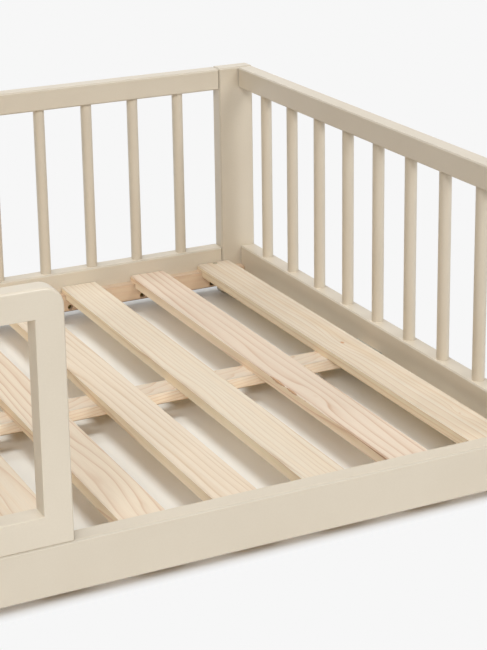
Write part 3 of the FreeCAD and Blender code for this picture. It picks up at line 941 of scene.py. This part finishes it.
def cleat(name, inward):
    """Ledger strip with a row of counterbored holes in its inner face."""
    low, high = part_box(name)
    face, back = (high.y, low.y) if inward > 0 else (low.y, high.y)
    holes = sorted(HOLE_FIRST - HOLE_PITCH * number for number in range(HOLE_COUNT))
    columns = [low.x]
    for centre in holes:
        columns += [centre - CELL, centre + CELL]
    columns.append(high.x)
    rows = [low.z, HOLE_LEVEL - CELL, HOLE_LEVEL + CELL, high.z]
    mesh = bmesh.new()
    grid = [[mesh.verts.new((x, face, z)) for z in rows] for x in columns]
    rear = [[mesh.verts.new((x, back, z)) for z in (low.z, high.z)] for x in columns]
    for column in range(len(columns) - 1):
        left, right = grid[column], grid[column + 1]
        rear_left, rear_right = rear[column], rear[column + 1]
        for row in range(3):
            corners = [left[row], right[row], right[row + 1], left[row + 1]]
            if column % 2 == 1 and row == 1:
                cut_hole(mesh, corners, (columns[column] + columns[column + 1]) / 2, face, inward)
            else:
                mesh.faces.new(corners)
        mesh.faces.new([rear_left[0], rear_left[1], rear_right[1], rear_right[0]])
        mesh.faces.new([left[3], right[3], rear_right[1], rear_left[1]])
        mesh.faces.new([left[0], rear_left[0], rear_right[0], right[0]])
    for end, behind in ((grid[0], rear[0]), (grid[-1], rear[-1])):
        mesh.faces.new(end + [behind[1], behind[0]])
    bmesh.ops.recalc_face_normals(mesh, faces=mesh.faces)
    outer = [edge for edge in mesh.edges
             if abs(edge.calc_face_angle(0) - math.pi / 2) < 0.01 and not in_hole(edge, face)]
    round_edges(mesh, outer, CLEAT_ROUND, 3)
    look = pine_material("pine_" + name, middle(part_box(name)), CLEAT_LOOK, along=0)
    piece = mesh_object(name + "_drilled", mesh, look)
    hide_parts(name)
    places = [(centre, face - inward * HOLE_DEPTH, HOLE_LEVEL) for centre in holes]
    screws(name + "_screws", CLEAT_SCREW, places, (0, inward, 0))


cleat("back_cleat", -1)
cleat("front_cleat", 1)


# ---------------------------------------------------------------- screws in slats, hangers, posts

SLAT_SCREW_INSET = 8.5 * MM     # from the long rail's inner face
HANGER_SCREW_INSET = 8 * MM     # from the hanger's ends
HANGER_SHEET = 2 * MM
CONNECTOR_LOW, CONNECTOR_HIGH = 55 * MM, 385 * MM    # above the floor

inner_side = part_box("back_base_rail")[0].y
for number in (1, SLAT_COUNT):
    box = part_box("slat_%02d" % number)
    places = [(middle(box).x, side * (inner_side - SLAT_SCREW_INSET), box[1].z)
              for side in (-1, 1)]
    screws("slat_%02d_screws" % number, SLAT_SCREW, places, (0, 0, 1))

for hand, side in (("left", -1), ("right", 1)):
    low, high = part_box(hand + "_beam_hanger")
    sheet = (high.x if side > 0 else low.x) - side * HANGER_SHEET
    places = [(sheet, y, middle((low, high)).z)
              for y in (low.y + HANGER_SCREW_INSET, high.y - HANGER_SCREW_INSET)]
    screws(hand + "_hanger_screws", HANGER_SCREW, places, (-side, 0, 0))

low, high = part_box("connector_screws")
front, back = low.y + CONNECTOR_RADIUS * MM, high.y - CONNECTOR_RADIUS * MM
for hand, side, x in (("left", -1, low.x), ("right", 1, high.x)):
    spots = [(front, CONNECTOR_LOW), (back, CONNECTOR_LOW), (back, CONNECTOR_HIGH)]
    if hand == "left":            # the barrier meets this front post
        spots.append((front, CONNECTOR_HIGH))
    places = [(x - side * CONNECTOR_THICK * MM, y, z) for y, z in spots]
    heads = screws(hand + "_connector_heads", CONNECTOR, places, (side, 0, 0))
    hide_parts("connector_screws")


# ---------------------------------------------------------------- floor, light and background

WHITE = srgb(247, 247, 247)
FLOOR_HALF_SIZE = 30            # metres
FLOOR_COLOUR = (0.87, 0.87, 0.87, 1)
# painted shade: a warm tint on the floor under the bed, for the colour of its shadow
FLOOR_SHADE_TINT = (0.872, 0.88, 0.836, 1)
TINT_FADE = 60 * MM             # the painted shade tint under the bed fades out over this, inside its outline
SHADOW_INSET = 32 * MM          # inside the bed's outline the floor's shadow starts to fade
SHADOW_FADE = 30 * MM           # over this distance it has faded out
SHADOW_BEHIND = 180 * MM        # the same behind the bed, where the back rail hides the floor
MIDDLE_BAND = 0.1               # metres: half the band across which front turns to back
# Soft boxes: (degrees above the floor, degrees round from the front towards +X, power).
SOFT_BOXES = [(80, -90, 1.30), (35, -35, 1.30), (35, 25, 1.02), (52, -166, 0.60), (35, 90, 0.20)]
BOX_SPREAD = math.radians(24)
FILL_LIGHT = 0.02               # from all round, for what no soft box reaches


def seen_or_mirrored(graph):
    """1 on rays that come straight from the camera or off metal and glass, 0 on lighting rays."""
    rays = graph.add("ShaderNodeLightPath").outputs
    mirrored = graph.math("MAXIMUM", rays["Is Glossy Ray"], rays["Is Transmission Ray"])
    return graph.math("MAXIMUM", rays["Is Camera Ray"], mirrored)


def floor():
    mesh = bpy.data.meshes.new("floor")
    half = FLOOR_HALF_SIZE
    mesh.from_pydata([(-half, -half, 0), (half, -half, 0), (half, half, 0), (-half, half, 0)], [],
                     [(0, 1, 2, 3)])
    piece = bpy.data.objects.new("floor", mesh)
    bpy.context.scene.collection.objects.link(piece)
    material, graph, shader = new_material("white_floor")
    shader.inputs["Roughness"].default_value = 0.9
    shader.inputs["Specular IOR Level"].default_value = 0.0

    place = graph.vector("SUBTRACT", object_point(graph), tuple(middle(cad_box)))
    half_size = (cad_box[1] - cad_box[0]) / 2

    def past(inset, behind=1.0):
        """How far a point lies outside the bed's outline, drawn in by an inset.

        Behind the bed only a share of the distance counts."""
        outline = tuple(value - inset for value in half_size)
        beyond = graph.vector("SUBTRACT", graph.vector("ABSOLUTE", place), outline)
        beyond = graph.vector("MAXIMUM", beyond)
        share = graph.spread(graph.parts(place)["Y"], -MIDDLE_BAND, MIDDLE_BAND, 1.0, behind)
        beyond = graph.vector("MULTIPLY", beyond, graph.joined(1, share))
        return graph.vector("LENGTH", beyond, output="Value")

    untinted = graph.spread(past(TINT_FADE), 0, TINT_FADE)
    graph.feed(shader.inputs["Base Color"], graph.mix(untinted, FLOOR_SHADE_TINT, FLOOR_COLOUR))
    plain = graph.add("ShaderNodeEmission")
    plain.inputs["Color"].default_value = WHITE
    unshaded = graph.spread(past(SHADOW_INSET, SHADOW_FADE / SHADOW_BEHIND), 0, SHADOW_FADE,
                            smooth=True)
    shown = graph.math("MULTIPLY", seen_or_mirrored(graph), unshaded)
    blend = graph.add("ShaderNodeMixShader")
    graph.feed(blend.inputs[0], shown)
    graph.feed(blend.inputs[1], shader.outputs[0])
    graph.feed(blend.inputs[2], plain.outputs[0])
    graph.feed(material.node_tree.nodes["Material Output"].inputs["Surface"], blend.outputs[0])
    mesh.materials.append(material)


def room():
    """White surroundings that are seen and mirrored, and leave the lighting to the soft boxes."""
    world = bpy.data.worlds.new("room")
    world.use_nodes = True
    bpy.context.scene.world = world
    graph = Graph(world.node_tree)
    background = world.node_tree.nodes["Background"]
    graph.feed(background.inputs["Color"], (1, 1, 1, 1))
    graph.feed(background.inputs["Strength"],
               graph.spread(seen_or_mirrored(graph), 0, 1, FILL_LIGHT, WHITE[0]))


def soft_box(number, height, heading, power):
    data = bpy.data.lights.new("soft_box_%d" % number, "SUN")
    data.energy = power
    data.angle = BOX_SPREAD
    lamp = bpy.data.objects.new(data.name, data)
    height, heading = math.radians(height), math.radians(heading)
    come_from = Vector((math.cos(height) * math.sin(heading), -math.cos(height) * math.cos(heading),
                        math.sin(height)))
    lamp.rotation_mode = "QUATERNION"
    lamp.rotation_quaternion = come_from.to_track_quat("Z", "Y")
    bpy.context.scene.collection.objects.link(lamp)


floor()
room()
for number, box in enumerate(SOFT_BOXES, 1):
    soft_box(number, *box)
bpy.context.scene.view_settings.view_transform = "Standard"
